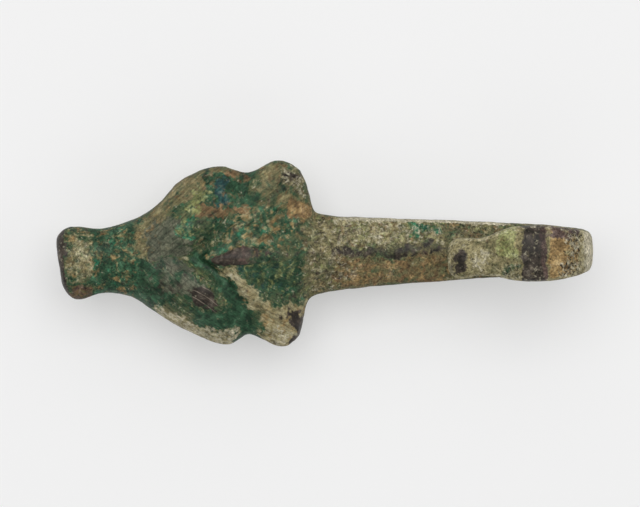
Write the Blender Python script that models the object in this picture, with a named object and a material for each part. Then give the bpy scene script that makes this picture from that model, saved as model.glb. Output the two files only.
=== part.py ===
"""Cast bronze garment hook: an animal head with laid-back ears, a ridged shaft that curls back
into a small hook head, and a round button on a stem underneath. All of it is one casting.

Run with: blender --background --python part.py

X runs along the hook, from the muzzle (-X) to the bend (+X). Z is up, +Y is port and -Y is
starboard. The origin is the centre of the button's flat underside, on which the hook stands.
Sizes are in millimetres.
"""

import math

import bmesh
import bpy
import numpy as np

MM = 0.001

# Driving dimensions.
MUZZLE_END = -24.75  # X of the blunt end of the big head, on the mid-line
BEND_END = 40.1  # X of the outermost point of the bend: 65 mm overall
BUTTON_RADIUS = 7.0
BUTTON_THICKNESS = 2.0
BELT_GAP = 4.5  # between the button and the flat underside of the head
UNDERSIDE = BUTTON_THICKNESS + BELT_GAP
UNDERSIDE_RANGE = (-13.0, 9.0)  # X range of that flat

# The bend: a half turn of this mid-line radius, from the shaft up and back over it.
BEND_RADIUS = 4.8
BEND_THICKNESS = 3.6
BEND_X = BEND_END - BEND_RADIUS - BEND_THICKNESS / 2
BEND_Z = 12.1
NOSE_END = 22.3  # X of the tip of the hook's own small head
HOOK_LENGTH = BEND_X - NOSE_END
HOOK_DROP = 1.5  # how far the nose hangs below the top of the bend
HOOK_LEAN = 0.45  # and how far it points to starboard

# Places along the casting: X as far as the bend, then the distance round it and back to the nose.
MID_BEND = BEND_X + math.pi * BEND_RADIUS / 2
BEND_TOP = BEND_X + math.pi * BEND_RADIUS
LOFT_END = BEND_TOP + HOOK_LENGTH

# The crease in front of the ears: a V from its point on the mid-line to the notches in the outline.
CREASE_POINT = -7.8
CREASE_NOTCH = -1.75
CREASE_CURVE = 2.8  # 1 is a straight V; more bows its arms forward
SHAFT_ROOT = 6.4

# Mesh density.
TOP_POINTS = 26
BOTTOM_POINTS = 12
BUTTON_STEPS = 32


def through(*knots):
    """A smooth curve through knots (place, value), flat at its own peaks and troughs."""
    place, value = np.array(knots, float).T
    gap = np.diff(place)
    rise = np.diff(value) / gap
    slope = np.zeros(len(place))
    slope[0], slope[-1] = rise[0], rise[-1]
    same_way = rise[:-1] * rise[1:] > 0
    before, after = rise[:-1][same_way], rise[1:][same_way]
    w1 = (2 * gap[1:] + gap[:-1])[same_way]
    w2 = (gap[1:] + 2 * gap[:-1])[same_way]
    slope[1:-1][same_way] = (w1 + w2) / (w1 / before + w2 / after)

    def curve(at):
        at = np.clip(at, place[0], place[-1])
        i = np.clip(np.searchsorted(place, at) - 1, 0, len(gap) - 1)
        t = (at - place[i]) / gap[i]
        return (
            value[i] * (1 + 2 * t) * (1 - t) ** 2
            + value[i + 1] * t * t * (3 - 2 * t)
            + gap[i] * (slope[i] * t * (1 - t) ** 2 + slope[i + 1] * t * t * (t - 1))
        )

    return curve


def bell(distance, reach):
    return np.exp(-((distance / reach) ** 2))


def step(low, high, at):
    """0 below low, 1 above high, smooth between."""
    t = np.clip((at - low) / (high - low), 0.0, 1.0)
    return t * t * (3 - 2 * t)


# Half-widths towards +Y and towards -Y.
port_width = through(
    (MUZZLE_END, 3.5),
    (-22.6, 3.85),  # muzzle lip
    (-19.4, 3.5),  # bridge of the nose
    (-17.0, 4.05),
    (-14.0, 5.3),
    (-12.5, 6.4),
    (-9.8, 9.2),
    (-4.8, 10.95),  # cheek
    (-1.7, 10.05),  # notch between cheek and ear
    (2.2, 11.5),  # ear
    (4.4, 10.6),
    (5.4, 8.9),
    (6.0, 6.7),
    (SHAFT_ROOT, 5.0),  # root of the shaft
    (12.5, 4.2),
    (23.0, 3.65),
    (BEND_X, 3.0),
    (MID_BEND, 2.6),
    (BEND_TOP, 3.6),
    (BEND_TOP + 3.4, 3.45),  # brow of the hook's head
    (BEND_TOP + 7.4, 2.25),
    (BEND_TOP + 9.6, 2.5),  # nostrils
    (LOFT_END, 2.2),
)
starboard_width = through(
    (MUZZLE_END, 4.5),
    (-22.8, 5.15),
    (-18.9, 4.35),
    (-15.8, 4.95),
    (-13.0, 6.9),
    (-9.8, 8.9),
    (-4.2, 10.95),
    (-1.8, 9.75),
    (2.4, 11.4),
    (4.0, 10.5),
    (4.75, 9.0),
    (5.1, 6.8),
    (5.6, 5.7),
    (SHAFT_ROOT, 5.15),
    (11.9, 4.4),
    (22.0, 3.8),
    (BEND_X, 3.1),
    (MID_BEND, 2.6),
    (BEND_TOP, 3.3),
    (BEND_TOP + 3.0, 3.1),
    (BEND_TOP + 7.6, 2.0),
    (BEND_TOP + 9.6, 2.4),
    (LOFT_END, 2.1),
)
# Heights of the mid-line of the upper face, of the widest line, and of the underside.
crest_height = through(
    (MUZZLE_END, 12.3),
    (-19.5, 11.8),
    (-8.5, 13.9),
    (0.0, 13.2),
    (8.0, 11.0),
    (16.0, 9.3),
    (24.0, 8.7),
    (BEND_X, BEND_Z - BEND_RADIUS + BEND_THICKNESS / 2),
)
belt_height = through(
    (MUZZLE_END, 9.4),
    (-12.0, 8.9),
    (2.0, 8.8),
    (8.0, 7.6),
    (16.0, 6.6),
    (24.0, 6.5),
    (BEND_X, BEND_Z - BEND_RADIUS),
)
underside_height = through(
    (MUZZLE_END, 7.1),
    (-18.0, 7.0),
    (-11.0, UNDERSIDE - 0.4),
    (7.6, UNDERSIDE - 0.3),
    (12.0, 5.5),
    (17.0, 4.8),
    (24.0, 4.7),
    (BEND_X, BEND_Z - BEND_RADIUS - BEND_THICKNESS / 2),
)
# Past the bend the same two faces carry on: the upper face becomes the hook's inner one.
inner_thickness = through(
    (BEND_X, BEND_THICKNESS / 2),
    (BEND_TOP, BEND_THICKNESS / 2),
    (BEND_TOP + 7.0, 1.3),
    (LOFT_END, 1.5),
)
outer_thickness = through(
    (BEND_X, BEND_THICKNESS / 2),
    (BEND_TOP - 1.4, BEND_THICKNESS / 2),
    (BEND_TOP + 3.2, 1.95),
    (BEND_TOP + 6.8, 1.35),
    (BEND_TOP + 9.2, 1.75),
    (LOFT_END, 1.3),
)
# How square the section is, and how much of a roof ridge its upper face has.
squareness = through(
    (MUZZLE_END, 3.4), (-18.0, 2.6), (-10.0, 2.4), (4.0, 2.5), (9.0, 4.5), (24.0, 6.0),
    (MID_BEND, 3.6), (BEND_TOP + 4.0, 3.0), (LOFT_END, 2.6),
)
ridge_share = through((-4.0, 0.0), (8.0, 0.8), (24.0, 1.0), (BEND_X, 0.5), (MID_BEND, 0.0))
# How far the sides of a ring are swept back, so that one ring lies along the whole crease.
sweep = through((MUZZLE_END, 0.0), (CREASE_POINT, CREASE_NOTCH - CREASE_POINT), (SHAFT_ROOT, 0.0))
# The end of the muzzle isn't quite square: X lost for each millimetre towards +Y.
muzzle_slant = through((MUZZLE_END, 0.08), (-21.0, 0.0))


def swept_share(across):
    """Share of the full sweep at a share of the half-width."""
    return 1 - (1 - np.abs(across)) ** CREASE_CURVE


def relief(x, y, across):
    """The larger carving of the upper face, in millimetres added to its height."""
    side = np.abs(y)
    crease_x = CREASE_POINT + (CREASE_NOTCH - CREASE_POINT) * swept_share(across)
    past_crease = (x - crease_x) * 0.75
    rim_x = -1.9 + 1.1 * (side - 3.4)  # X of the ears' rear rim
    past_rim = (x - rim_x) * 0.67
    outward = step(2.0, 4.5, side)
    before_crease, behind_crease = np.minimum(past_crease, 0.0), np.maximum(past_crease, 0.0)

    muzzle_rim = 0.40 * bell(x + 23.9, 0.8)
    bridge_dip = -0.25 * bell(x + 20.4, 1.8)
    valley = -0.8 * bell(side, 1.9) * step(-15.5, -10.0, x) * step(0.6, -1.2, past_crease)
    cheek = 1.0 * bell(x + 7.2, 4.2) * bell(side - 5.2, 3.2) * step(1.0, -0.4, past_crease)
    crease = -1.15 * bell(before_crease, 1.6) * bell(behind_crease, 0.45) * step(12.5, 8.0, side)
    dish = -0.55 * outward * bell(past_rim + 1.5, 1.1) * step(0.2, 1.2, past_crease)
    rim = 0.45 * outward * bell(past_rim + 0.2, 0.9)
    behind_ear = -1.1 * outward * step(-0.2, 1.9, past_rim) * step(9.0, 6.0, x)
    mane = 0.55 * bell(side, 0.4 + 0.8 * step(-6.0, 0.0, x))
    mane = mane * step(-6.5, -3.5, x) * step(12.0, 4.0, x)
    return muzzle_rim + bridge_dip + valley + cheek + crease + dish + rim + behind_ear + mane


def profile(across, power, ridge):
    """Shares of the mid-line height across the lower face, and across the arched upper face."""
    edge = (1 - np.abs(across) ** power) ** (1 / power)
    dome = 1 - 0.35 * across**2
    roof = 1 - 0.42 * np.sqrt(across**2 + 0.004)
    return edge, edge * (dome + (roof - dome) * ridge)


def straight_face(place, shrink, across, upper):
    """Points over one face of a section before the bend, its sides swept back along the ears."""
    x = place + sweep(place) * swept_share(across)
    y = across * np.where(across > 0, port_width(x), starboard_width(x))
    edge, arch = profile(across, squareness(x), ridge_share(x))
    if upper:
        rise = (crest_height(x) - belt_height(x)) * arch + relief(x, y, across) * edge
    else:
        rise = (underside_height(x) - belt_height(x)) * edge
    z = belt_height(x) + shrink * rise
    if not upper:
        under_head = (x > UNDERSIDE_RANGE[0]) & (x < UNDERSIDE_RANGE[1])
        z = np.where(under_head, np.maximum(z, UNDERSIDE), z)
    return np.column_stack([x - muzzle_slant(x) * y, y * shrink, z])


def curled_face(place, shrink, across, upper):
    """Points over one face of a section in the bend, or in the hook past it."""
    turned = min(place - BEND_X, BEND_TOP - BEND_X) / BEND_RADIUS
    back = max(place - BEND_TOP, 0.0)
    droop = (back / HOOK_LENGTH) ** 2
    centre = np.array((
        BEND_X + BEND_RADIUS * math.sin(turned) - back,
        -HOOK_LEAN * droop,
        BEND_Z - BEND_RADIUS * math.cos(turned) - HOOK_DROP * droop,
    ))
    up = np.array((-math.sin(turned), 0.0, math.cos(turned)))
    y = across * np.where(across > 0, port_width(place), starboard_width(place))
    edge, arch = profile(across, squareness(place), ridge_share(place))
    rise = inner_thickness(place) * arch if upper else -outer_thickness(place) * edge
    return centre + shrink * (y[:, None] * np.array((0.0, 1.0, 0.0)) + rise[:, None] * up)


def shares_across(count):
    """Shares of the half-width from +1 towards -1, closer together at both edges."""
    even = np.linspace(1.0, -1.0, count + 1)[:-1]
    return 1.5 * even - 0.5 * even**3


def section(place, shrink):
    """Ring of points round the casting at a place, upper face first; shrink 1 is full size."""
    face = straight_face if place <= BEND_X else curled_face
    top = face(place, shrink, shares_across(TOP_POINTS), upper=True)
    bottom = face(place, shrink, -shares_across(BOTTOM_POINTS), upper=False)
    return np.vstack([top, bottom]) * MM


def stations():
    """Place and shrink of each ring: rounded ends, and closer rings where the form is busy."""
    end_radius, flat_share = 1.3, 0.45
    turns = np.radians([25, 45, 65, 80])
    rounding = [(1 - math.cos(a), flat_share + (1 - flat_share) * math.sin(a)) for a in turns]
    body = np.concatenate([
        np.linspace(MUZZLE_END + end_radius, -15.5, 10, endpoint=False),
        np.linspace(-15.5, CREASE_POINT - 1.5, 9, endpoint=False),
        np.linspace(CREASE_POINT - 1.5, CREASE_POINT + 3.0, 12, endpoint=False),
        np.linspace(CREASE_POINT + 3.0, SHAFT_ROOT + 0.6, 24, endpoint=False),
        np.linspace(SHAFT_ROOT + 0.6, BEND_X, 20, endpoint=False),
        np.linspace(BEND_X, BEND_TOP, 17, endpoint=False),
        np.linspace(BEND_TOP, LOFT_END - end_radius, 13),
    ])
    first = [(MUZZLE_END + end_radius * r, s) for r, s in rounding]
    last = [(LOFT_END - end_radius * r, s) for r, s in reversed(rounding)]
    return first + [(p, 1.0) for p in body] + last


def partner(old, new):
    """The vertex among the new ones that an old one was extruded to."""
    return next(e.other_vert(old) for e in old.link_edges if e.other_vert(old) in new)


def loft_casting():
    """The casting without its button: a ring extruded from station to station, and capped."""
    bm = bmesh.new()
    rows = stations()
    ring = [bm.verts.new(p) for p in section(*rows[0])]
    edges = [bm.edges.new(pair) for pair in zip(ring, ring[1:] + ring[:1])]
    ends = [ring]
    for place, shrink in rows[1:]:
        made = bmesh.ops.extrude_edge_only(bm, edges=edges)["geom"]
        edges = [g for g in made if isinstance(g, bmesh.types.BMEdge)]
        new = {v for e in edges for v in e.verts}
        ring = [partner(old, new) for old in ring]
        for vert, point in zip(ring, section(place, shrink)):
            vert.co = point
    ends.append(ring)
    bmesh.ops.poke(bm, faces=[bm.faces.new(end) for end in ends])
    bmesh.ops.triangulate(bm, faces=bm.faces, quad_method="SHORT_EDGE")
    bmesh.ops.recalc_face_normals(bm, faces=bm.faces)
    return finish_mesh(bm, "garment_hook")


def turn_button():
    """The button and its stem, turned about Z, with the stem's root sunk into the head."""
    outline = [
        (0.0, 0.0),
        (BUTTON_RADIUS - 0.9, 0.0),
        (BUTTON_RADIUS - 0.25, 0.35),
        (BUTTON_RADIUS, 0.95),
        (BUTTON_RADIUS - 0.2, 1.6),
        (BUTTON_RADIUS - 0.7, BUTTON_THICKNESS),
        (3.5, BUTTON_THICKNESS),
        (2.95, 2.25),
        (2.7, 2.9),
        (2.65, UNDERSIDE - 1.4),
        (2.9, UNDERSIDE - 0.5),
        (3.5, UNDERSIDE + 0.1),
        (3.5, UNDERSIDE + 1.5),
        (0.0, UNDERSIDE + 1.5),
    ]
    bm = bmesh.new()
    verts = [bm.verts.new((r * MM, 0.0, z * MM)) for r, z in outline]
    edges = [bm.edges.new(pair) for pair in zip(verts, verts[1:])]
    bmesh.ops.spin(
        bm, geom=verts + edges, cent=(0, 0, 0), axis=(0, 0, 1), angle=2 * math.pi,
        steps=BUTTON_STEPS, use_merge=True,
    )
    bmesh.ops.remove_doubles(bm, verts=bm.verts, dist=1e-6)
    bmesh.ops.recalc_face_normals(bm, faces=bm.faces)
    return finish_mesh(bm, "button_shape")


def finish_mesh(bm, name):
    mesh = bpy.data.meshes.new(name)
    bm.to_mesh(mesh)
    bm.free()
    return mesh


def patinated_bronze():
    material = bpy.data.materials.new("patinated_bronze")
    material.use_nodes = True
    shader = material.node_tree.nodes["Principled BSDF"]
    shader.inputs["Base Color"].default_value = (0.085, 0.115, 0.062, 1.0)
    shader.inputs["Metallic"].default_value = 0.15
    shader.inputs["Roughness"].default_value = 0.6
    return material


def add(mesh):
    thing = bpy.data.objects.new(mesh.name, mesh)
    bpy.context.scene.collection.objects.link(thing)
    return thing


for leftover in list(bpy.data.objects):
    bpy.data.objects.remove(leftover)

casting = loft_casting()
casting.materials.append(patinated_bronze())
hook = add(casting)

button = add(turn_button())
button.hide_render = True
button.display_type = "WIRE"
join = hook.modifiers.new("button", "BOOLEAN")
join.operation = "UNION"
join.object = button

casting.shade_smooth()
casting.set_sharp_from_angle(angle=math.radians(50))
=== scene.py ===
import math

import bmesh
import bpy
import numpy as np
from mathutils import Matrix, Vector, noise


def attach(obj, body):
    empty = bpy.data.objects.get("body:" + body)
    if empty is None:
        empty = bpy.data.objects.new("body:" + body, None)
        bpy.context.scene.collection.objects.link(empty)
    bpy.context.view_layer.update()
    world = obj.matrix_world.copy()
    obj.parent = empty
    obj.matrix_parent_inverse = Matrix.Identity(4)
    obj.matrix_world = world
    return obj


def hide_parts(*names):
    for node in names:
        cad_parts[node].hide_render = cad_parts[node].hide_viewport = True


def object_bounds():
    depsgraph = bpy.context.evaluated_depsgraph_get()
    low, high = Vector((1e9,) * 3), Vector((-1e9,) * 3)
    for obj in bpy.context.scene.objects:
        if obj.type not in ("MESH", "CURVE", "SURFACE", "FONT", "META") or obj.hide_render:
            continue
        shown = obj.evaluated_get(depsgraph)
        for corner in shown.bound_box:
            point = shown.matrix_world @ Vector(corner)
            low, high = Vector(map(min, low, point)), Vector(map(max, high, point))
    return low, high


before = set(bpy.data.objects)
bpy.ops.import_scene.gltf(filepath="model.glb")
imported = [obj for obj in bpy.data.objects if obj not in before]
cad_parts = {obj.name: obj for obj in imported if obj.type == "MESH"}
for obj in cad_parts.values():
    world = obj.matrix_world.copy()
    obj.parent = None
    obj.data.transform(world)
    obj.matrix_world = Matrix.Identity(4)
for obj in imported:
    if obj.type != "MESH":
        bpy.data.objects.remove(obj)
cad_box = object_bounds()

# ---------------------------------------------------------------------------------------------
# The casting: one piece of leaded bronze, cast from a wax model in a clay mould. Its carving was
# cut in the wax, cleaned up with a scraper and then rounded by wear, and the soil has left its
# faces uneven.
# ---------------------------------------------------------------------------------------------
# Sizes are in millimetres: x runs from the muzzle to the bend, y to the port side, z up.
MM = 0.001
SKIN = 0.19  # spacing of the surface's points
MERGE = 0.001  # points closer than this are one
EASE = 14  # rounds of smoothing that take the facets off

metal = bmesh.new()
metal.from_mesh(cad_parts["garment_hook"].data)
bmesh.ops.remove_doubles(metal, verts=metal.verts, dist=MERGE * MM)
coarse = bpy.data.meshes.new("garment_hook_coarse")
metal.to_mesh(coarse)
metal.free()
hook = bpy.data.objects.new("hook_casting", coarse)
bpy.context.scene.collection.objects.link(hook)
skin = hook.modifiers.new("skin", "REMESH")
skin.mode = "VOXEL"
skin.voxel_size = SKIN * MM
surface = bpy.data.meshes.new_from_object(hook.evaluated_get(bpy.context.evaluated_depsgraph_get()))
surface.name = "hook_casting"
hook.modifiers.clear()
hook.data = surface


def ease(mesh, rounds):
    """Point positions of a mesh, in millimetres, after some rounds of smoothing."""
    bm = bmesh.new()
    bm.from_mesh(mesh)
    for _ in range(rounds):
        bmesh.ops.smooth_vert(
            bm, verts=bm.verts, factor=0.5, use_axis_x=True, use_axis_y=True, use_axis_z=True
        )
    eased = np.array([v.co for v in bm.verts]) / MM
    bm.free()
    return eased


def place(mesh, points):
    """Move a mesh's points to these positions, given in millimetres."""
    mesh.vertices.foreach_set("co", (points * MM).astype(np.float32).ravel())
    mesh.update()


def normals(mesh):
    """The direction that each point's surface faces."""
    found = np.empty(len(mesh.vertices) * 3, np.float32)
    mesh.vertex_normals.foreach_get("vector", found)
    return found.reshape(-1, 3)


def step(low, high, at):
    """A smooth step from 0 at low to 1 at high, which may be the lower of the two."""
    t = np.clip((at - low) / (high - low), 0.0, 1.0)
    return t * t * (3 - 2 * t)


def bell(distance, reach):
    """A bump of height 1 at distance 0, nearly gone at twice its reach."""
    return np.exp(-((distance / reach) ** 2))


def grain(points, size, octaves=3, seed=0.0):
    """Fractal noise of about -1 to 1 whose largest lumps are size millimetres."""
    offset = Vector((seed * 7.1, seed * 3.7, seed * 5.3))
    return np.array([noise.fractal(Vector(p) / size + offset, 1.0, 2.0, octaves) for p in points])


place(surface, ease(surface, EASE))
points = ease(surface, 0)
facing = normals(surface)
x, y, z = points.T
point_side = step(22.6, 24.0, x) * step(28.5, 26.5, x) * step(11.0, 12.0, z) * step(-0.8, -1.8, y)
POINT_FULLER = 0.28  # how much fuller the curl's point is on the starboard side
MUZZLE_LONGER = 0.1  # how much further the muzzle's end stands out
points[:, 1] -= POINT_FULLER * point_side
points[:, 0] -= MUZZLE_LONGER * step(-22.5, -24.0, x)
side = np.abs(y)
above_button = step(2.2, 3.2, z)
upward = above_button * step(-0.1, 0.5, facing[:, 2])
on_head = step(7.5, 5.5, x) * upward
on_curl = step(20.0, 21.0, x) * step(11.0, 12.0, z)  # the curl's top, above the shaft

# The crease in front of the ears, a V from the mid-line to the notches. Soil fills its port side.
CREASE_FRONT = -7.8  # the V's point
CREASE_BACK = -1.75  # its ends, at the notches
CREASE_OUT = 10.5
CREASE_BOW = 2.8  # 1 is a straight V; more bows its arms forward
CREASE_SLANT = 0.75  # turns a distance along x into one square to the crease


def behind_crease(x, side):
    """How far behind the crease a place is, square to it; negative in front of it."""
    share_out = np.clip(side / CREASE_OUT, 0, 1)
    crease_x = CREASE_FRONT + (CREASE_BACK - CREASE_FRONT) * (1 - (1 - share_out) ** CREASE_BOW)
    return (x - crease_x) * CREASE_SLANT


past_crease = behind_crease(x, side)
crease_runs = step(0.3, 1.0, side) * step(9.6, 6.0, side) * on_head
cut = -0.11 * bell(past_crease, 0.4) + 0.13 * bell(past_crease - 0.7, 0.4)
filled = 0.3 * bell(past_crease - 0.1, 0.8)
carving = crease_runs * np.where(y < 0, cut, filled)

# The ears: a raised rib from the mid-line to the tip, and behind it the drop to the neck.
RIB_HIGH = 0.15
RIM_START = (-1.9, 3.4)  # x and distance out of the rear rim's inner end
RIM_BACK = 1.1  # how far it runs back for each millimetre outwards
RIM_SLANT = 0.67  # turns a distance along x into one square to the rim
past_rim = (x - RIM_START[0] - RIM_BACK * (side - RIM_START[1])) * RIM_SLANT
rib_at = np.interp(side, [3.0, 9.5], [-1.0, -0.4])
rim_runs = step(2.4, 3.6, side) * step(11.2, 10.0, side) * on_head
carving += RIB_HIGH * rim_runs * (bell(past_rim - rib_at, 0.45) - bell(past_rim - 0.3, 0.4))

# The mane: a smooth wedge that widens backwards between the ears and runs on as the neck's ridge.
WEDGE_X = [-6.0, -5.2, -4.5, -3.3, -2.2, 1.0, 6.0]
WEDGE_HALF = [0.15, 0.42, 0.65, 0.85, 1.05, 0.75, 0.35]
WEDGE_MIDDLE = [-0.2, -0.25, -0.2, 0.1, 0.25, 0.2, 0.0]
wedge_height = np.interp(x, [-6.4, -5.4, -1.0, 4.0, 12.0, 24.0], [0.0, 0.3, 0.25, 0.1, 0.06, 0.0])
from_wedge = np.abs(y - np.interp(x, WEDGE_X, WEDGE_MIDDLE)) - np.interp(x, WEDGE_X, WEDGE_HALF)
on_wedge = upward * (1 - on_curl) * step(0.3, -0.2, from_wedge)
carving += wedge_height * on_wedge

# Scraper strokes run slantwise from the mid-line, outwards and back, over the whole head.
STROKE_LENGTH = 1.3
STROKE_WIDTH = 0.24
slant = np.interp(x, [-16.0, -14.0, -3.0, 6.0, 9.0], [0.0, 0.4, 9.4, 14.6, 15.0])
lie = np.stack([x / STROKE_LENGTH, (side - slant) / STROKE_WIDTH, y / 2.5 + z / 1.2], axis=1)
scraped = on_head * step(-15.5, -12.5, x)
strokes = scraped * grain(lie, 1.0, 3, 6.0)
unevenness = 0.06 * grain(points, 3.0, 3, 1.0) + 0.035 * grain(points, 0.9, 3, 4.0) + 0.03 * strokes
carving += unevenness * step(0.2, 0.8, z)  # the button stays flat underneath
place(surface, points + facing * carving[:, None])

# ---------------------------------------------------------------------------------------------
# The corrosion: crusts that burial has laid on the bronze, green and blue copper salts over the
# head, lime and earth over the slopes and the shaft, and rust-coloured stains between them.
# Handling has rubbed the rims and the domes bare.
# ---------------------------------------------------------------------------------------------
POINT_END = 22.3  # the curl's point, above the shaft
BEND = 33.5  # where the shaft starts to turn up
BEND_END = 40.1  # the outermost part of the bend
SLICE = 0.5  # length of the slices that the outline is measured in
BARE = -0.3  # an amount at which a crust leaves no trace
EVERYWHERE = {  # each crust's general amount on the head, on the shaft and out of sight below
    "soil": (0.3, 0.6, 0.5),
    "rubbed": (0.0, 0.0, 0.0),
    "green": (0.35, 0.08, 0.35),
    "blue": (0.0, 0.0, 0.05),
    "rust": (0.12, 0.3, 0.2),
    "gold": (0.05, 0.2, 0.1),
    "tan": (0.15, 0.22, 0.35),
    "emerald": (0.08, 0.05, 0.05),
    "lime": (0.1, 0.2, 0.15),
    "cuprite": (0.0, 0.1, 0.1),
    "worn": (0.15, 0.15, 0.1),
    "tooled": (0.0, 0.0, 0.0),
    "pits": (0.15, 0.25, 0.2),
    "pale": (0.1, 0.12, 0.15),
}

points = ease(surface, 0)
facing = normals(surface)
relief = ((points - ease(surface, 40)) * facing).sum(axis=1)  # high points above 0, hollows below
x, y, z = points.T
side = np.abs(y)
# Areas are set out from the crease, the outline, the curl's end and the bend.
wander = 0.85 - 0.45 * on_curl  # how far the crusts' outlines stray, in mm
stray = grain(points, 2.0, 4, 2.0) + 0.4 * grain(points, 0.45, 2, 8.0)
along = x + wander * stray
across = y + wander * (grain(points, 2.0, 4, 3.0) + 0.4 * grain(points, 0.45, 2, 9.0))
out = np.abs(across)
port = step(-0.4, 0.4, across)
starboard = 1 - port
crease = behind_crease(along, out)


def from_outline(chosen):
    """How far in from one side's outline each point is, seen from above."""
    slices = ((x - x.min()) / SLICE).astype(int)
    widest = np.zeros(slices.max() + 1)
    np.maximum.at(widest, slices[chosen], side[chosen])
    return np.interp(x, x.min() + SLICE * (np.arange(len(widest)) + 0.5), widest) - side


inset = np.where(y > 0, from_outline(y > 0), from_outline(y < 0)) + wander * stray


def between(low, high, at, fade=1.1):
    """1 from low to high, fading to 0 over a further fade on either side."""
    return step(low - fade, low, at) * step(high + fade, high, at)


def near(at_x, at_y, reach):
    """1 close to a place, fading to 0 a little beyond its reach."""
    return step(reach + 0.7, reach - 0.5, np.hypot(along - at_x, across - at_y))


laid = {kind: np.full(len(x), BARE) for kind in EVERYWHERE}


def lay(area, **amounts):
    """Lay crusts on an area, each as thickly as its amount where the area is 1."""
    for kind, amount in amounts.items():
        laid[kind] = np.maximum(laid[kind], BARE + (amount - BARE) * area)


body = 1 - on_curl  # all but the curl
# The muzzle: earth on its upper face, brown at the starboard corner, green round its waist.
lay(between(-23.2, -20.8, along) * step(3.9, 2.0, out), soil=0.6, tan=0.45, gold=0.3, pale=0.15, green=0.4)
lay(near(-22.3, -4.2, 1.5), rust=0.7, cuprite=0.5)
lay(near(-20.2, -0.9, 0.4), emerald=0.9)
lay(between(-19.6, -15.6, along, 1.8), green=0.8, gold=0.25, emerald=0.15)
lay(starboard * between(-20.0, -12.5, along), green=0.85)
# The brow: earth down the port slope, and both domes rubbed grey in front of the crease.
lay(port * between(-15.4, -13.0, along, 1.5), soil=0.8, gold=0.2)
lay(port * between(-14.0, -4.0, along) * step(3.6, 2.4, inset), soil=0.75, gold=0.1, rust=0.2, green=0.25)
lay(port * between(-13.5, -8.5, along) * step(5.8, 4.6, out) * step(-1.0, -2.0, crease), rubbed=0.85)
lay(starboard * between(-14.0, -5.5, along) * step(5.4, 4.4, out) * step(-1.8, -2.8, crease),
    rubbed=0.85, green=0.35, worn=0.25)
# The port cheek: green, with one blue streak, a lime patch before it and rust inside it.
cheek = port * between(-3.6, 0.3, crease)
lay(cheek * between(6.0, 10.0, out), green=1.0, rust=0.2)
lay(port * between(-2.4, -1.8, crease, 0.8) * between(6.6, 8.8, out), blue=1.0)
lay(cheek * between(5.0, 6.0, out, 0.5), rust=0.75, green=0.5)
lay(port * between(-4.8, -3.4, crease, 0.5) * between(5.6, 8.0, out), lime=0.55, pale=0.1, green=0.5)
lay(port * between(-10.0, -8.4, along) * between(3.0, 5.0, out), emerald=0.55, lime=0.35)
lay(port * between(-4.0, -1.8, along) * step(2.0, 1.0, inset), rust=0.65, soil=0.8)
# The starboard cheek: a bare scraped patch, solid green behind it, pale earth on the outline.
scar = starboard * between(-4.0, -2.3, crease, 0.6) * between(3.9, 5.7, out, 0.6)
# tooled sets where the scraper arcs are drawn with their painted highlight.
lay(scar, worn=1.25, tooled=1.0)
lay(starboard * between(-1.0, 0.1, crease, 0.7), green=1.1)
lay(starboard * between(-4.2, 0.3, crease) * between(7.0, 9.6, out), green=1.05)
lay(starboard * between(-12.5, -3.5, along) * step(2.8, 1.2, inset), soil=0.8, tan=0.6, pale=0.5)
lay(between(-8.0, -6.0, along) * step(1.5, 0.8, out), green=1.0)
# Behind the crease: a tan edge to starboard, tan and green flakes to port.
lay(near(-3.5, -2.2, 0.9), tan=0.85, gold=0.5, pale=0.35)
lay(starboard * between(0.6, 1.6, crease, 0.8) * between(1.4, 6.0, out),
    tan=0.72, gold=0.4, rust=0.2, green=0.3)
lay(port * between(0.3, 6.0, crease) * step(7.0, 6.0, out) * step(5.0, 4.0, along),
    green=0.65, tan=0.2, gold=0.3, emerald=0.2)
lay(starboard * step(1.4, 2.0, crease) * step(5.2, 4.4, out) * step(5.0, 4.0, along),
    green=0.55, blue=0.2, lime=0.25)
# The ears: earth, lightest at the tips, and their rear rims worn, the starboard one bare.
ears = step(0.6, 1.6, crease) * step(5.2, 6.4, out) * step(6.0, 5.0, along)
lay(port * ears, soil=0.7, green=0.4, rust=0.2)
lay(starboard * ears, soil=0.8, tan=0.5, gold=0.4, green=0.2)
rear = np.maximum(step(0.4, 0.65, facing[:, 0]), step(1.1, 0.6, inset))
rear_rim = step(2.4, 3.4, along) * step(6.2, 5.0, along) * step(6.2, 7.4, out) * rear
lay(starboard * rear_rim, worn=1.1)
lay(port * rear_rim, worn=0.3, pale=0.4)
lay(starboard * ears * (1 - rear_rim) * step(7.8, 9.2, out), tan=0.65, pale=0.4)
lay(near(3.4, 9.4, 1.1), worn=0.55, pale=0.35, tan=0.6)
lay(port * between(3.4, 6.0, along) * between(4.6, 6.2, out), rust=0.8, gold=0.5)
# The neck and the shaft: earth with a rubbed ridge, emerald to port and ochre to starboard.
lay(between(6.0, 10.5, along, 2.0) * step(4.8, 3.4, out), soil=0.7, tan=0.3, lime=0.15, worn=0.3, pale=0.2)
ridge = body * between(9.0, POINT_END, along)
lay(ridge * step(1.1, 0.4, np.abs(across - 0.2)), worn=0.6, rubbed=0.5)
lay(ridge * port * step(0.4, 1.2, out), tan=0.4, lime=0.25, rust=0.35, pale=0.3)
lay(ridge * between(18.4, 21.6, along) * between(2.4, 3.0, across, 0.8), emerald=0.75)
lay(ridge * between(-3.6, -1.0, across), rust=0.5, gold=0.35)
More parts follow.
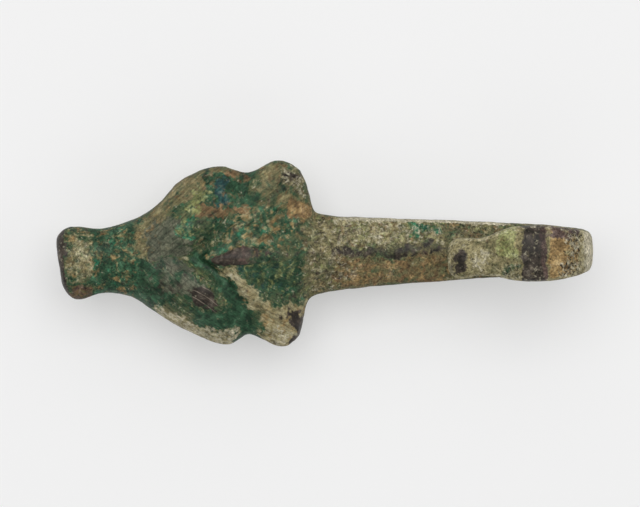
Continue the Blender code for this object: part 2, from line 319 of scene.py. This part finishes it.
# The curl: a bare spot near its end, chalky behind, then lime to port and pitting to starboard.
lay(on_curl, soil=0.8)
lay(on_curl * step(BEND - 1.5, BEND - 3.0, along), tan=0.35)
for spot_y in (-1.4, 0.0):
    lay(on_curl * near(POINT_END + 1.4, spot_y, 0.75), worn=0.95)
lay(on_curl * near(POINT_END + 4.0, -0.5, 1.4), tan=0.65, pale=0.45)
lay(on_curl * near(POINT_END + 1.9, 1.1, 0.5), worn=0.5, pale=0.3)
lay(on_curl * between(BEND - 5.0, BEND - 3.2, along) * step(-1.2, 0.6, across), lime=0.7, gold=0.4)
lay(on_curl * starboard * between(BEND - 4.2, BEND - 2.8, along) * step(-0.8, -1.4, across),
    green=0.65, pits=0.3, pale=0.3)
# The bend's top: a bare band, a red-brown one, golden earth flecked dark, and a chalky lip.
lay(on_curl * between(BEND - 2.0, BEND - 0.1, along, 0.5), worn=0.95, pale=0.15)
lay(on_curl * between(BEND, BEND + 0.5, along, 0.6), cuprite=0.95)
lay(on_curl * between(BEND + 1.4, BEND + 3.4, along, 0.8), gold=0.95, rust=0.5)
lay(on_curl * between(BEND + 1.5, BEND_END - 2.0, along) * step(1.4, 2.4, across), cuprite=0.9)
lay(on_curl * between(BEND + 3.4, BEND_END - 2.0, along), gold=0.8, tan=0.3, rust=0.35, pits=0.35, pale=0.32)
for flecked_x, flecked_y in ((BEND + 3.1, -1.7), (BEND + 4.3, 1.7)):
    lay(on_curl * near(flecked_x, flecked_y, 1.1), pits=0.5, pale=0.38)
lay(on_curl * step(BEND_END - 1.6, BEND_END - 0.8, along), soil=1.0, tan=1.0, pale=1.25)

top = above_button * step(-0.15, 0.3, facing[:, 2])
for kind in laid:
    laid[kind] = BARE + (laid[kind] - BARE) * top
head = step(6.5, 4.5, x)
claimed = np.clip(np.max([laid[kind] for kind in laid if kind != "soil"], axis=0), 0, 1)
crusts = {}
for kind, (on_the_head, on_the_shaft, below) in EVERYWHERE.items():
    general = top * (head * on_the_head + (1 - head) * on_the_shaft) + (1 - top) * below
    if kind != "soil":
        general += (BARE - general) * claimed
    crusts[kind] = np.maximum(laid[kind], general)


def thicken(kind, amount):
    """Make one crust at least this thick."""
    crusts[kind] = np.maximum(crusts[kind], amount)


# What follows the shape: bare high points, earth in the hollows, chalk on the curl's edges, a bare
# muzzle end, red-brown metal along the mane, and a painted highlight along the shaft's port wall, laid with
# the pale crust.
thicken("worn", 0.25 * head * step(0.04, 0.14, relief))
curl_edge = on_curl * step(0.85, 0.6, facing[:, 2]) * step(-0.1, 0.2, facing[:, 2])
thicken("tan", 0.8 * curl_edge)
thicken("pale", 0.3 * curl_edge)
# Painted highlight: the shaft's port wall, which faces the lamps, is laid pale, most of all along its arris.
port_wall_highlight = step(8.0, 11.0, x) * step(32.0, 28.0, x) * body * step(0.5, 0.7, facing[:, 1])
arris = step(0.72, 0.5, facing[:, 2]) * step(0.02, 0.2, facing[:, 2])
thicken("pale", port_wall_highlight * (0.35 + 0.75 * arris))
muzzle_rim = np.maximum(step(-0.25, -0.55, facing[:, 0]), step(-23.7, -24.2, along))
thicken("worn", 1.2 * step(-22.8, -23.8, x) * muzzle_rim)
mane = np.interp(x, [-6.4, -5.8, -4.5, -2.5, -1.0, 2.5, 5.0], [0.0, 1.3, 1.1, 0.9, 0.4, 0.1, 0.3])
thicken("cuprite", mane * on_wedge)
thicken("worn", 0.75 * mane * on_wedge)
hollow = step(-0.03, -0.12, relief) * (0.6 - 0.3 * head)
thicken("tan", hollow * (1 - np.clip(np.maximum(laid["green"], laid["rubbed"]), 0, 1)))

crusts["brushed"] = top * head * step(-15.5, -12.5, x)
for kind, amount in crusts.items():
    stored = surface.attributes.new(kind, "FLOAT", "POINT")
    stored.data.foreach_set("value", amount.astype(np.float32))
stored = surface.attributes.new("lie", "FLOAT_VECTOR", "POINT")
stored.data.foreach_set("vector", lie.astype(np.float32).ravel())
for polygon in surface.polygons:
    polygon.use_smooth = True

# ---------------------------------------------------------------------------------------------
# The patina's look. Rubbed bronze is dark brown with a low sheen, the green and blue copper
# salts are denser in colour and nearly matt, and the earthy crusts are chalky and rough, so the
# eye reads the metal's smooth high points against a dull, mottled ground.
# ---------------------------------------------------------------------------------------------
# Crusts from the lowest layer up: size of the mottling in mm, ragged edge, colours from dark to
# light, roughness, thickness in mm and height of its grit in mm.
LAYERS = {
    "rubbed": (1.4, 0.25, ("303529", "4d5242", "636553", "777963"), 0.5, 0.01, 0.04),
    "green": (1.3, 0.3, ("152b1f", "213d29", "33543c", "4c7053"), 0.45, 0.02, 0.04),
    "blue": (1.0, 0.3, ("152a2c", "1d3a3b", "2b4f4b", "476e69"), 0.5, 0.02, 0.04),
    "rust": (0.9, 0.3, ("3c2f23", "604e35", "7c6446", "a08663"), 0.65, 0.03, 0.06),
    "gold": (0.9, 0.3, ("624e30", "826a45", "9e8458", "c3ac80"), 0.65, 0.04, 0.07),
    "tan": (0.8, 0.3, ("6b6346", "8b825f", "a29a78", "c4bd9b"), 0.7, 0.05, 0.08),
    "emerald": (0.9, 0.3, ("103f2e", "1b5d41", "2d7757", "639e81"), 0.45, 0.03, 0.05),
    "lime": (0.8, 0.3, ("5d633b", "797d4e", "939564", "b6b88c"), 0.7, 0.05, 0.08),
    "cuprite": (0.9, 0.3, ("261c19", "42342f", "5d4c45", "83746b"), 0.45, 0.0, 0.03),
    "worn": (0.9, 0.3, ("1b1814", "2b2620", "443c34", "6c6459"), 0.4, 0.0, 0.03),
    "pits": (0.35, 0.2, ("12100e", "1d1915", "2d2822", "4b4439"), 0.7, -0.03, 0.05),
    "pale": (0.5, 0.25, ("8c886f", "a59f87", "bab299", "d6cfb8"), 0.7, 0.04, 0.08),
}
GROUND = ("1b3525", "28432d", "46553a", "5e5d40", "797150", "948b66")  # green to tan with soil
MARKS_CENTRE = (-11.2 * MM, -11.4 * MM, 0.0)  # which the scraper swung round
MARKS_APART = 0.85 * MM
PLATES = 1.2 * MM  # across, between cracks
BROAD = 1.2 * MM  # lumps of the shading within a crust
SPECK = 0.3 * MM
EARTH = 1.8 * MM  # lumps of the ground coat
BRUSHED_SHARE = 0.55  # how much of the speckle the strokes replace on the head
SPREAD = 2.2  # how far the mottling breaks a crust up around its general amount


def linear(code):
    """Linear RGBA of an sRGB hex colour such as "8a7f5c"."""
    shares = [int(code[i : i + 2], 16) / 255 for i in (0, 2, 4)]
    return [s / 12.92 if s <= 0.04045 else ((s + 0.055) / 1.055) ** 2.4 for s in shares] + [1.0]


def add(tree, kind, inputs=None, stops=None, **settings):
    """Add a node, give it its settings, fill or link its inputs, and return it."""
    made = tree.nodes.new(kind)
    for name, value in settings.items():
        setattr(made, name, value)
    for socket, value in (inputs or {}).items():
        if isinstance(value, bpy.types.NodeSocket):
            tree.links.new(value, made.inputs[socket])
        else:
            made.inputs[socket].default_value = value
    if stops:
        elements = made.color_ramp.elements
        elements[0].color, elements[-1].color = linear(stops[0]), linear(stops[-1])
        for index, code in enumerate(stops[1:-1], 1):
            elements.new(index / (len(stops) - 1)).color = linear(code)
    return made


patina = bpy.data.materials.new("buried_bronze_patina")
patina.use_nodes = True
tree = patina.node_tree
shader = tree.nodes["Principled BSDF"]
shader.inputs["Specular IOR Level"].default_value = 0.2
where = add(tree, "ShaderNodeTexCoord").outputs["Object"]
mottling = {"noise_dimensions": "4D"}
lumps = {"Vector": where, "Roughness": 0.55, "Distortion": 0.8}
broad = add(
    tree, "ShaderNodeTexNoise", lumps | {"W": 20.0, "Scale": 1 / BROAD, "Detail": 2.0}, **mottling
).outputs["Fac"]
speckle = add(
    tree,
    "ShaderNodeTexNoise",
    lumps | {"W": 30.0, "Scale": 1 / SPECK, "Detail": 3.0, "Distortion": 0.4},
    **mottling,
).outputs["Fac"]
strokes_lie = add(tree, "ShaderNodeAttribute", attribute_name="lie").outputs["Vector"]
streaks = add(
    tree,
    "ShaderNodeTexNoise",
    lumps | {"Vector": strokes_lie, "W": 31.0, "Scale": 1.0, "Detail": 3.0, "Distortion": 0.3},
    **mottling,
).outputs["Fac"]
brushed = add(tree, "ShaderNodeAttribute", attribute_name="brushed").outputs["Fac"]
brushed = add(tree, "ShaderNodeMath", {0: brushed, 1: BRUSHED_SHARE}, operation="MULTIPLY").outputs[0]
fine = add(tree, "ShaderNodeMix", {0: brushed, 2: speckle, 3: streaks}).outputs[0]
shade = add(
    tree, "ShaderNodeMapRange", {"Value": broad, "From Min": 0.25, "From Max": 0.75}
).outputs[0]
light = add(
    tree,
    "ShaderNodeMapRange",
    {"Value": fine, "From Min": 0.3, "From Max": 0.7, "To Min": 0.25, "To Max": 1.75},
    clamp=False,
).outputs[0]

soil = add(tree, "ShaderNodeAttribute", attribute_name="soil").outputs["Fac"]
ground = add(
    tree, "ShaderNodeTexNoise", lumps | {"W": 21.0, "Scale": 1 / EARTH, "Detail": 3.0}, **mottling
).outputs["Fac"]
ground = add(tree, "ShaderNodeMath", {0: ground, 1: 1.5, 2: soil}, operation="MULTIPLY_ADD").outputs[0]
ground = add(tree, "ShaderNodeMath", {0: ground, 1: 0.75}, operation="SUBTRACT").outputs[0]
colour = add(tree, "ShaderNodeValToRGB", {"Fac": ground}, GROUND).outputs["Color"]
dullness, height, grit = 0.6, 0.0, 0.06
for seed, (kind, row) in enumerate(LAYERS.items(), 1):
    size, ragged, codes, rough, thick, gritty = row
    amount = add(tree, "ShaderNodeAttribute", attribute_name=kind).outputs["Fac"]
    pattern = add(
        tree,
        "ShaderNodeTexNoise",
        lumps | {"W": float(seed), "Scale": 1 / (size * MM), "Detail": 3.0},
        **mottling,
    ).outputs["Fac"]
    sum_up = add(tree, "ShaderNodeMath", {0: pattern, 1: SPREAD, 2: amount}, operation="MULTIPLY_ADD")
    even = 0.5 * SPREAD + 0.5
    cover = add(
        tree,
        "ShaderNodeMapRange",
        {"Value": sum_up.outputs[0], "From Min": even - ragged, "From Max": even + ragged},
        interpolation_type="SMOOTHSTEP",
    ).outputs[0]
    tint = add(tree, "ShaderNodeValToRGB", {"Fac": shade}, codes).outputs["Color"]
    colour = add(
        tree, "ShaderNodeMix", {0: cover, 6: colour, 7: tint}, data_type="RGBA"
    ).outputs[2]
    dullness = add(tree, "ShaderNodeMix", {0: cover, 2: dullness, 3: rough}).outputs[0]
    height = add(tree, "ShaderNodeMix", {0: cover, 2: height, 3: thick}).outputs[0]
    grit = add(tree, "ShaderNodeMix", {0: cover, 2: grit, 3: gritty}).outputs[0]

height = add(
    tree, "ShaderNodeMath", {0: fine, 1: grit, 2: height}, operation="MULTIPLY_ADD"
).outputs[0]

# Scraper marks: fine arcs on the starboard cheek, MARKS_APART from each other, where it is worn bare, drawn
# pale as a painted highlight along their crests.
swing = add(tree, "ShaderNodeVectorMath", {0: where, 1: MARKS_CENTRE}, operation="SUBTRACT").outputs[0]
arcs = add(
    tree,
    "ShaderNodeTexWave",
    {"Vector": swing, "Scale": math.pi / 10 / MARKS_APART, "Distortion": 1.5, "Detail": 1.0},
    wave_type="RINGS",
    rings_direction="Z",
).outputs["Fac"]
tooled = add(tree, "ShaderNodeAttribute", attribute_name="tooled").outputs["Fac"]
line = add(tree, "ShaderNodeMapRange", {"Value": arcs, "From Min": 0.93, "From Max": 1.0}).outputs[0]
scraper_arc_highlight = add(tree, "ShaderNodeMath", {0: line, 1: tooled}, operation="MULTIPLY").outputs[0]
scraper_arc_highlight = add(tree, "ShaderNodeMath", {0: scraper_arc_highlight, 1: broad}, operation="MULTIPLY").outputs[0]
# Painted highlight: the arcs' pale pinkish colour stands for light catching their crests.
colour = add(
    tree, "ShaderNodeMix", {0: scraper_arc_highlight, 6: colour, 7: linear("a39584")}, data_type="RGBA"
).outputs[2]

# Cracks: the rubbed patina has split into plates about a millimetre across.
plates = add(
    tree, "ShaderNodeTexVoronoi", {"Vector": where, "Scale": 1 / PLATES}, feature="DISTANCE_TO_EDGE"
).outputs["Distance"]
rubbed = add(tree, "ShaderNodeAttribute", attribute_name="rubbed").outputs["Fac"]
crack = add(tree, "ShaderNodeMapRange", {"Value": plates, "From Min": 0.1, "From Max": 0.0}).outputs[0]
crack = add(tree, "ShaderNodeMath", {0: crack, 1: rubbed}, operation="MULTIPLY").outputs[0]
crack = add(tree, "ShaderNodeMath", {0: crack, 1: broad}, operation="MULTIPLY").outputs[0]
colour = add(
    tree, "ShaderNodeMix", {0: crack, 6: colour, 7: linear("24231c")}, data_type="RGBA"
).outputs[2]
colour = add(tree, "ShaderNodeVectorMath", {0: colour, "Scale": light}, operation="SCALE").outputs[0]
bump = add(tree, "ShaderNodeBump", {"Height": height, "Distance": MM, "Strength": 0.8})
for socket, value in {"Base Color": colour, "Roughness": dullness, "Normal": bump.outputs[0]}.items():
    tree.links.new(value, shader.inputs[socket])
surface.materials.clear()
surface.materials.append(patina)

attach(hook, "root")
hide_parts("garment_hook")

# ---------------------------------------------------------------------------------------------
# The table and the light: a matt white acrylic sheet that glows a little, under a large soft lamp
# nearly overhead, with a weaker one on each of the four sides and a pale room around them.
# ---------------------------------------------------------------------------------------------
FLOOR_HALF = 1.5

sheet = bpy.data.meshes.new("table_sheet")
flat = bmesh.new()
bmesh.ops.create_grid(flat, x_segments=1, y_segments=1, size=FLOOR_HALF)
flat.to_mesh(sheet)
flat.free()
table = bpy.data.objects.new("table_sheet", sheet)
bpy.context.scene.collection.objects.link(table)
white = bpy.data.materials.new("white_acrylic_sheet")
white.use_nodes = True
finish = white.node_tree.nodes["Principled BSDF"].inputs
finish["Base Color"].default_value = linear("c8c8c8")
finish["Roughness"].default_value = 0.9
finish["Specular IOR Level"].default_value = 0.1
# The glow stands for the light that a pale room throws back onto the sheet.
finish["Emission Color"].default_value = linear("f4f4f4")
finish["Emission Strength"].default_value = 0.375
sheet.materials.append(white)

MIDDLE_HEIGHT = 0.009
middle = Vector(((cad_box[0][0] + cad_box[1][0]) / 2, 0.0, MIDDLE_HEIGHT))


def softbox(name, position, width, height, power):
    """A rectangular soft lamp aimed at the hook's middle."""
    lamp = bpy.data.lights.new(name, "AREA")
    lamp.shape = "RECTANGLE"
    lamp.size, lamp.size_y = width, height
    lamp.energy = power
    holder = bpy.data.objects.new(name, lamp)
    holder.location = position
    holder.rotation_euler = (middle - Vector(position)).to_track_quat("-Z", "Y").to_euler()
    bpy.context.scene.collection.objects.link(holder)


softbox("overhead_softbox", (0.0, 0.3, 0.95), 0.9, 0.7, 5.8)
softbox("port_softbox", (0.0, 0.85, 0.6), 1.0, 0.6, 1.2)
softbox("bend_softbox", (0.9, 0.1, 0.6), 0.8, 0.6, 1.8)
softbox("muzzle_softbox", (-0.9, 0.1, 0.6), 0.8, 0.6, 1.2)
softbox("starboard_softbox", (0.0, -0.85, 0.6), 1.0, 0.6, 1.1)
room = bpy.data.worlds.new("pale_room")
room.use_nodes = True
room.node_tree.nodes["Background"].inputs["Color"].default_value = (1.0, 1.0, 1.0, 1.0)
room.node_tree.nodes["Background"].inputs["Strength"].default_value = 0.25
bpy.context.scene.world = room

# ---------------------------------------------------------------------------------------------
# The camera looks almost straight down from a copy stand, tipped a little to the port side and
# turned so that the hook's curl rises towards the frame's top edge.
# ---------------------------------------------------------------------------------------------
TILT = math.radians(4.0)
TURN = math.radians(0.95)
DISTANCE = 0.7
SENSOR = 36.0
WIDTH_SEEN = 77.76 * MM  # across the frame, at the height of the hook's middle
AIM_X = 7.05 * MM

lens = bpy.data.cameras.new("copy_stand_camera")
lens.sensor_width = SENSOR
lens.lens = SENSOR * DISTANCE / WIDTH_SEEN
lens.clip_start = 0.01
camera = bpy.data.objects.new("copy_stand_camera", lens)
back = Vector((0.0, math.sin(TILT), math.cos(TILT)))
right = Vector((1.0, 0.0, 0.0))
up = back.cross(right)
turned_right = right * math.cos(TURN) - up * math.sin(TURN)
turned_up = up * math.cos(TURN) + right * math.sin(TURN)
stand = Matrix((turned_right, turned_up, back)).transposed().to_4x4()
stand.translation = Vector((AIM_X, 0.0, MIDDLE_HEIGHT)) + back * DISTANCE
camera.matrix_world = stand
bpy.context.scene.collection.objects.link(camera)
bpy.context.scene.camera = camera
bpy.context.scene.view_settings.view_transform = "Standard"
